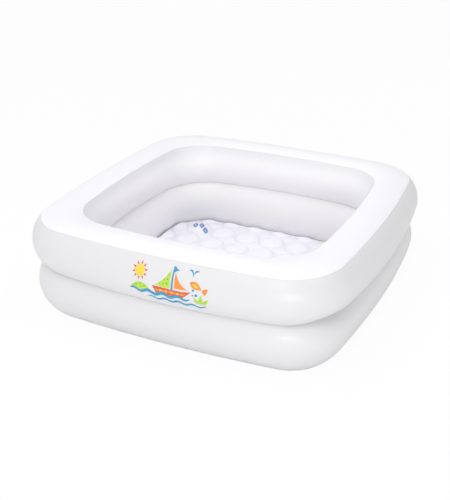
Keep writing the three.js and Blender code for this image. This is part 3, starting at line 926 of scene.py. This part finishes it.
def make_strap():
    foot_start = HINGE_REACH - STRAP_THICKNESS / 2
    end = HINGE_REACH + STRAP_THICKNESS / 2
    middle = (0, (STRAP_START + end) / 2, STRAP_MIDDLE)
    strap = add_block(middle, (STRAP_WIDTH, end - STRAP_START, STRAP_THICKNESS))
    bpy.ops.object.mode_set(mode="EDIT")
    bpy.ops.mesh.select_mode(type="FACE")
    bpy.ops.mesh.bisect(plane_co=(0, foot_start, 0), plane_no=(0, 1, 0))
    bpy.ops.mesh.select_all(action="DESELECT")
    bpy.ops.object.mode_set(mode="OBJECT")
    for face in strap.data.polygons:
        face.select = face.normal.z < -0.9 and face.center.y > foot_start
    bpy.ops.object.mode_set(mode="EDIT")
    bpy.ops.mesh.extrude_region_move()
    bpy.ops.transform.translate(value=(0, 0, HINGE_HEIGHT - STRAP_THICKNESS / 2 - HEAD_LOW))
    bpy.ops.object.mode_set(mode="OBJECT")
    apply_modifier(strap, "BEVEL", width=0.3 * MM, segments=3, limit_method="ANGLE")
    return strap


def make_tab():
    """A rounded tab: a flat cylinder whose inner half is stretched to the head."""
    deselect_all()
    round_middle = TAB_HALF - TAB_END
    bpy.ops.mesh.primitive_cylinder_add(
        vertices=32, radius=TAB_HALF, depth=STRAP_THICKNESS, location=(0, round_middle, STRAP_MIDDLE))
    tab = bpy.context.object
    bpy.ops.object.transform_apply(location=True, rotation=True, scale=True)
    points = points_of(tab.data)
    points[:, 1] = np.where(points[:, 1] > round_middle + POLE, -STRAP_START, points[:, 1])
    set_points(tab.data, points)
    apply_modifier(tab, "BEVEL", width=0.2 * MM, segments=2, limit_method="ANGLE")
    return tab


def make_plug():
    return joined(make_stopper(), make_strap(), make_tab())


# %% [markdown]
# ## Moulded PVC and the finished valves
# The valves are injection-moulded from a softer, milkier PVC than the film. Light spreads well into it,
# so its edges glow a little and its shades are soft. A faint pull of the mould unsettles its gloss. The
# parts of each valve are made, moved to its place and given their bodies, so that each can move on its
# joint. Then the film gets its gauge and its hole.

# %% Make and place the valves
MILK_SIZE = 6 * MM
MOULD_PULL = 0.03 * MM
MOULDED_MILKINESS = 0.4
MOULDED_LIGHT_TRAVEL = 3 * MM


def moulding_material(name, hex_colour, roughness):
    material, tree = new_material(name)
    place = add_node(tree, "ShaderNodeTexCoord").outputs["Object"]
    milk = add_node(tree, "ShaderNodeTexNoise", {"Vector": place, "Scale": 1 / MILK_SIZE, "Detail": 2.0})
    tint = add_node(tree, "ShaderNodeMix", {
        "Factor": milk.outputs["Fac"], "A": linear(hex_colour), "B": linear("#F4F7FA"),
    }, data_type="RGBA")
    skin = add_node(tree, "ShaderNodeBump", {
        "Height": milk.outputs["Fac"], "Strength": 1.0, "Distance": MOULD_PULL,
    })
    body = add_node(tree, "ShaderNodeBsdfPrincipled", {
        "Base Color": tint.outputs["Result"], "Roughness": roughness, "IOR": PVC_IOR,
        "Subsurface Weight": MOULDED_MILKINESS, "Subsurface Radius": (1, 1, 1),
        "Subsurface Scale": MOULDED_LIGHT_TRAVEL, "Normal": skin.outputs["Normal"],
    })
    add_node(tree, "ShaderNodeOutputMaterial", {"Surface": body.outputs["BSDF"]})
    return material


valve_finish = moulding_material("milky_moulded_pvc", "#E6EAEE", 0.3)
plug_finish = moulding_material("milky_moulded_plug_pvc", "#DDE3E9", 0.27)

valve_sheets = {"upper": upper_outer_film, "lower": lower_outer_film, "floor": floor_film}
for prefix, place in valve_frames.items():
    sheet, depth = valve_sheets[prefix], STEM_DEPTH[prefix]
    valve_parts = {
        "flange": (make_flange(sheet, place), valve_finish, "valve_vinyl", "pool"),
        "stem": (make_stem(depth), valve_finish, "valve_vinyl", f"{prefix}_stem"),
        "flap": (make_flap(depth), valve_finish, "valve_vinyl", f"{prefix}_flap"),
        "plug": (make_plug(), plug_finish, "plug_vinyl", f"{prefix}_plug"),
    }
    for kind, (part, finish, slot, body) in valve_parts.items():
        part.data.transform(place)
        part.data.update()
        finish_piece(part, f"{prefix}_{kind}", finish, slot, body, f"{prefix}_valve_{kind}")
    thicken_and_punch(sheet, place)
for wall, name in ((upper_outer_film, "upper_outer"), (lower_outer_film, "lower_outer")):
    finish_piece(wall, f"{name}_film", outer_film_painted_shade, "wall_vinyl", "pool", f"{name}_wall")
finish_piece(floor_film, "floor_film", floor_film_finish, "floor_vinyl", "pool", "floor_top_sheet")

# %% [markdown]
# ## Screen inks
# A screen printer pulls one ink after another through its own stencil, so a print is a few flat areas of
# plain colour. Vinyl ink dries to an even, fairly glossy layer, and its cover varies by a few parts in a
# hundred. The ink's material therefore lets a little of the film's white through, in small patches.

# %% Make the inks
INK_ROUGHNESS = 0.36
INK_GRAIN = 0.01 * MM
COVERAGE_SIZE = 2.5 * MM
THINNEST_COVER = 0.07    # the share of the film's white that shows through where the ink is thinnest


def ink_material(name, hex_colour):
    material, tree = new_material(name)
    place = add_node(tree, "ShaderNodeTexCoord").outputs["Object"]
    cover = add_node(tree, "ShaderNodeTexNoise", {
        "Vector": place, "Scale": 1 / COVERAGE_SIZE, "Detail": 3.0,
    })
    thin = add_node(tree, "ShaderNodeMapRange", {
        "Value": cover.outputs["Fac"], "To Min": 0.0, "To Max": THINNEST_COVER,
    })
    colour = add_node(tree, "ShaderNodeMix", {
        "Factor": thin.outputs["Result"], "A": linear(hex_colour), "B": linear("#F2F2F2"),
    }, data_type="RGBA")
    skin = add_node(tree, "ShaderNodeBump", {
        "Height": cover.outputs["Fac"], "Strength": 1.0, "Distance": INK_GRAIN,
    })
    ink = add_node(tree, "ShaderNodeBsdfPrincipled", {
        "Base Color": colour.outputs["Result"], "Roughness": INK_ROUGHNESS, "IOR": PVC_IOR,
        "Normal": skin.outputs["Normal"],
    })
    add_node(tree, "ShaderNodeOutputMaterial", {"Surface": ink.outputs["BSDF"]})
    return material


# %% [markdown]
# ## Printing on a bent film
# Each ink is one piece. Its areas are drawn as closed outlines in a flat curve, which Blender fills, and
# the fill is sliced with bisect into narrow strips, so that it can bend. Shrinkwrap then lays it on the
# film, a touch higher for each later ink, and Solidify makes it a thin layer. A picture mapped onto the
# film would be the other way, but outlines keep their edges crisp from close by.

# %% Define how an ink is printed
INK_STEP = 0.1 * MM
INK_FILM = 0.06 * MM
SLICE_UP = 3 * MM
SLICE_ALONG = 9 * MM
BEFORE_POOL = 500 * MM   # the two places where a print waits before it is pressed onto its film
ABOVE_FLOOR = 100 * MM


def filled_outlines(shapes):
    """A flat mesh of closed outlines that are given in mm."""
    bpy.ops.curve.primitive_bezier_circle_add()
    ink = bpy.context.object
    ink.data.dimensions = "2D"
    ink.data.fill_mode = "BOTH"
    ink.data.splines.clear()
    for shape in shapes:
        spline = ink.data.splines.new("POLY")
        spline.points.add(len(shape) - 1)
        spline.points.foreach_set("co", [value for x, y in shape for value in (x * MM, y * MM, 0.0, 1.0)])
        spline.use_cyclic_u = True
    deselect_all()
    ink.select_set(True)
    bpy.ops.object.convert(target="MESH")
    return bpy.context.object


def slice_up(ink, widths):
    """Cut a flat mesh into strips of the given width, one way and then the other."""
    low, high = points_of(ink.data).min(0), points_of(ink.data).max(0)
    bpy.ops.object.mode_set(mode="EDIT")
    for axis, width in enumerate(widths):
        for at in np.arange(low[axis] + width / 2, high[axis], width):
            spot = [0.0, 0.0, 0.0]
            facing = [0.0, 0.0, 0.0]
            spot[axis], facing[axis] = float(at), 1.0
            bpy.ops.mesh.select_all(action="SELECT")
            bpy.ops.mesh.bisect(plane_co=spot, plane_no=facing)
    bpy.ops.object.mode_set(mode="OBJECT")


def print_ink(name, hex_colour, shapes, film, slot, layer, upright):
    """Lay outlines on a film: an upright print faces the front, and a level one faces up."""
    ink = filled_outlines(shapes)
    slice_up(ink, (SLICE_ALONG if upright else SLICE_UP, SLICE_UP))
    if upright:
        stand_up = Matrix.Rotation(math.pi / 2, 4, "X")
        ink.data.transform(Matrix.Translation((0, -BEFORE_POOL, 0)) @ stand_up)
    else:
        ink.data.transform(Matrix.Translation((0, 0, ABOVE_FLOOR)))
    apply_modifier(
        ink, "SHRINKWRAP", target=film, wrap_method="PROJECT", wrap_mode="ABOVE_SURFACE",
        offset=INK_STEP * layer, use_project_x=False, use_project_y=upright, use_project_z=not upright,
        use_positive_direction=upright, use_negative_direction=not upright)
    apply_modifier(ink, "SOLIDIFY", thickness=INK_FILM, offset=-1.0)
    return finish_piece(ink, name, ink_material(f"screen_ink_{name}", hex_colour), slot, "pool")


# %% [markdown]
# ## Rules for the outlines
# Each outline comes from a short rule for its kind: a disc, a leaf with two curved edges, a ribbon of
# waves, and the rays of a sun. The rest are outlines of a few corners whose edges are bowed. Rules like
# these are quicker to change than points set by hand.

# %% Define the outlines
FIRST_RAY = 0.2          # the angle of a sun's first ray, in radians


def disc(x, y, radius, sides=36):
    angles = np.arange(sides) * 2 * math.pi / sides
    return [(x + radius * math.cos(a), y + radius * math.sin(a)) for a in angles]


def leaf(x, y, angle, length, width, steps=12):
    """A leaf or drop that starts at (x, y) and points along angle."""
    angle = math.radians(angle)
    along = (math.cos(angle), math.sin(angle))
    edge = [(t / steps, math.sin(math.pi * (t / steps) ** 0.8)) for t in range(steps + 1)]
    side = [(t * length, w * width / 2) for t, w in edge]
    side += [(t * length, -w * width / 2) for t, w in edge[-2:0:-1]]
    return [(x + a * along[0] - b * along[1], y + a * along[1] + b * along[0]) for a, b in side]


def wave_ribbon(left, right, y, height, width, length, steps=90):
    """A ribbon of waves, each of the given height and length, that narrows to both ends."""
    top, bottom = [], []
    for step in range(steps + 1):
        t = step / steps
        x = left + (right - left) * t
        middle = y + height * math.sin(2 * math.pi * (x - left) / length)
        half = width / 2 * math.sin(math.pi * t) ** 0.35
        top.append((x, middle + half))
        bottom.append((x, middle - half))
    return top + bottom[-2:0:-1]


def bowed(corners, steps=8):
    """An outline of corners (x, y, bow), where bow pushes the edge that follows out to the right."""
    points = []
    for at, (x, y, bow) in enumerate(corners):
        next_x, next_y = corners[(at + 1) % len(corners)][:2]
        run = math.hypot(next_x - x, next_y - y)
        out = ((next_y - y) / run, (x - next_x) / run)
        for step in range(steps if bow else 1):
            t = step / steps
            lift = 4 * bow * t * (1 - t)
            points.append((x + (next_x - x) * t + out[0] * lift, y + (next_y - y) * t + out[1] * lift))
    return points


def sun_rays(x, y, inner, outer, count, spread):
    """Pointed rays round a centre, where spread is the angle of half a ray's root."""
    rays = []
    for at in range(count):
        angle = 2 * math.pi * at / count + FIRST_RAY
        corners = ((inner, angle - spread), (outer, angle), (inner, angle + spread))
        rays.append([(x + reach * math.cos(a), y + reach * math.sin(a)) for reach, a in corners])
    return rays


# %% [markdown]
# ## The picture on the front
# The picture on the upper ring is a plain one, in six inks: a boat on the waves, a sun and a hill to its
# left, and a bird, a fish and some weed to its right. All its sizes are in mm, with x to the right and y
# up from the ground. Each ink's list holds all its areas, as its stencil does.

# %% Print the front
teal_areas = [
    wave_ribbon(-58, 92, 165, 3.2, 9.5, 37), wave_ribbon(-14, 130, 151.5, 2.5, 6.5, 34),
    bowed([(47, 180, 0), (52, 180, 0), (51.2, 231, 0), (47.8, 231, 0)]),      # the mast
    bowed([(51.5, 231, 2), (67, 225.5, 1.5), (51.4, 219.5, 0)]),              # the pennant
    bowed([(84, 229, -5), (97, 222, -5), (110, 229, 4), (97, 216, 4)]),       # the bird
    disc(101, 191, 2.8, 24), disc(108, 180.5, 3.4), disc(100, 179, 2.1, 24),  # bubbles
]
lime_areas = [
    bowed([(44.5, 226, -4), (8, 187.5, 2.5), (44.5, 186, 0)]),                # the left sail
    bowed([(-2, 167, 19), (-58, 167, 0)]),                                    # the hill
    leaf(117, 157, 84, 26, 10), leaf(122, 158, 50, 23, 9), leaf(112.5, 158, 120, 20, 8),  # the weed
]
# spots on the left sail, on the hill and on the weed
green_areas = [disc(x, y, r, 18) for x, y, r in (
    (37, 194, 2.0), (28, 193, 1.5), (38, 204, 1.7), (30.5, 201.5, 1.3), (40, 213.5, 1.3), (20, 191.5, 1.2),
    (-40, 178, 2.0), (-30, 181, 1.6), (-20, 177, 1.8), (-47, 172.5, 1.4), (-29, 173.5, 1.3),
    (118.4, 170, 1.3), (119.4, 177, 1.0), (130, 167.5, 1.2),
)]
red_areas = [
    bowed([(0, 184, 0), (10, 166, 3), (74, 166, 0), (96, 185.5, 0), (74, 182, 0)]),   # the hull
    *sun_rays(-33, 210, 13.4, 20.5, 10, 0.2),
]
orange_areas = [
    bowed([(55, 221, 5), (88, 188, 0), (55, 186.5, 0)]),                              # the right sail
    bowed([(7, 177.5, 0), (9.4, 173, 0), (79, 173, 0), (84, 177.5, 0)]),              # the hull's stripe
    leaf(92, 207, -22, 32, 15), bowed([(122, 194.4, -1.5), (135, 199, -2), (128.5, 184, -1.5)]),  # the fish
]
portholes = [disc(21 + 14 * step, 175.3, 2.7, 20) for step in range(4)]
yellow_areas = [disc(-33, 210, 12), leaf(96.5, 204.6, -22, 19, 5), *portholes]

inks = [
    ("print_lime", "#B4DB38", lime_areas, 1), ("print_red_orange", "#DE500F", red_areas, 1),
    ("print_teal", "#1F93BE", teal_areas, 2), ("print_orange", "#F08C22", orange_areas, 2),
    ("print_green", "#62A62C", green_areas, 3), ("print_yellow", "#F7D22E", yellow_areas, 3),
]
for name, hex_colour, areas, layer in inks:
    print_ink(name, hex_colour, areas, upper_outer_film, "wall_vinyl", layer, True)

# %% [markdown]
# ## The drops on the floor
# In the far left corner of the floor lie three blue drops with a pale glint each. They are leaves too,
# seen from above this time, and their print is laid down on the floor's domes.

# %% Print the floor
drops = [(-229, 216, 116, 40, 15.5), (-211, 221, 114, 40, 15.5), (-194, 211, 115, 25, 15)]
glints = [(x - 0.08 * length, y + 0.18 * length, angle, 0.3 * length, 0.26 * width)
          for x, y, angle, length, width in drops]
for name, hex_colour, leaves, layer in (
        ("floor_print_blue", "#6F92CC", drops, 1), ("floor_print_pale", "#B4C6E8", glints, 2)):
    print_ink(name, hex_colour, [leaf(*one) for one in leaves], floor_film, "floor_vinyl", layer, False)

# %% [markdown]
# ## Ground and sky
# A wide pale ground catches a faint shadow where the pool stands. Seen by the camera it is mixed with
# plain white, so the picture's background is white while the pool still stands in ordinary light. The sky
# is pale, and about twice as bright on the left as on the right, which shades the right wall as in the
# photograph.

# %% Lay the ground and set the sky
GROUND_SIZE = 12
GROUND_DROP = 0.5 * MM
GROUND_WHITE = 0.93      # the share of plain white that the camera sees in the ground
SKY_LEFT = 1.0
SKY_RIGHT = 0.54


def ground_material(name, hex_colour, share_white):
    material, tree = new_material(name)
    path = add_node(tree, "ShaderNodeLightPath")
    seen = add_node(tree, "ShaderNodeMath", {
        0: path.outputs["Is Camera Ray"], 1: share_white,
    }, operation="MULTIPLY")
    matt = add_node(tree, "ShaderNodeBsdfDiffuse", {"Color": linear(hex_colour)})
    white = add_node(tree, "ShaderNodeEmission", {"Color": (1, 1, 1, 1), "Strength": 1.0})
    both = add_node(tree, "ShaderNodeMixShader", {
        0: seen.outputs[0], 1: matt.outputs[0], 2: white.outputs[0],
    })
    add_node(tree, "ShaderNodeOutputMaterial", {"Surface": both.outputs[0]})
    return material


deselect_all()
bpy.ops.mesh.primitive_plane_add(size=GROUND_SIZE, location=(0, 0, -GROUND_DROP))
ground = bpy.context.object
ground.name = "ground"
ground.data.materials.append(ground_material("pale_ground", "#F6F6F6", GROUND_WHITE))

world = bpy.data.worlds.new("pale_sky")
scene.world = world
world.use_nodes = True
sky = world.node_tree
sky.nodes.clear()
path = add_node(sky, "ShaderNodeLightPath")
towards = add_node(sky, "ShaderNodeTexCoord").outputs["Generated"]
across = add_node(sky, "ShaderNodeSeparateXYZ", {0: towards})
brightness = add_node(sky, "ShaderNodeMapRange", {
    "Value": across.outputs["X"], "From Min": -1.0, "From Max": 1.0,
    "To Min": SKY_LEFT, "To Max": SKY_RIGHT,
})
lit = add_node(sky, "ShaderNodeBackground", {
    "Color": (1, 1, 1, 1), "Strength": brightness.outputs["Result"],
})
seen = add_node(sky, "ShaderNodeBackground", {"Color": (1, 1, 1, 1), "Strength": 1.0})
both = add_node(sky, "ShaderNodeMixShader", {
    0: path.outputs["Is Camera Ray"], 1: lit.outputs[0], 2: seen.outputs[0],
})
add_node(sky, "ShaderNodeOutputWorld", {"Surface": both.outputs[0]})
print(f"sky: {SKY_LEFT} on the left, {SKY_RIGHT} on the right")

# %% [markdown]
# ## Lamps
# Three soft lamps shape the pool. The key lamp hangs high in front and gives the rim its white, the front
# lamp hangs low under the camera and draws the broad highlights on the outer walls, and the right one
# lifts the shade. A small, weak lamp close above the basin brightens the floor's middle. It hangs so near
# that some views would show it, so it is hidden from the camera.

# %% Hang the lamps
def soft_lamp(name, turn, rise, distance, size, watts):
    """A soft lamp aimed at the pool, placed by its turn and rise in degrees, as the camera is."""
    turn, rise = math.radians(turn), math.radians(rise)
    towards = Vector((math.sin(turn) * math.cos(rise), -math.cos(turn) * math.cos(rise), math.sin(rise)))
    bpy.ops.object.light_add(type="AREA", location=towards * distance)
    lamp = bpy.context.object
    lamp.name = name
    lamp.rotation_euler = towards.to_track_quat("Z", "Y").to_euler()
    lamp.data.shape = "RECTANGLE"
    lamp.data.size, lamp.data.size_y = size
    lamp.data.energy = watts
    print(f"{name}: {size[0]} x {size[1]} m, {watts} W, {distance} m away")
    return lamp


soft_lamp("key_softbox", 8, 52, 6.0, (2.6, 2.6), 46)
soft_lamp("front_softbox", 28, 14, 3.2, (1.5, 0.5), 18)
soft_lamp("right_softbox", 80, 50, 6.0, (2.4, 2.4), 24)
near_lamp = soft_lamp("near_softbox", 0, 88, 1.25, (0.5, 0.5), 1.9)
near_lamp.visible_camera = False
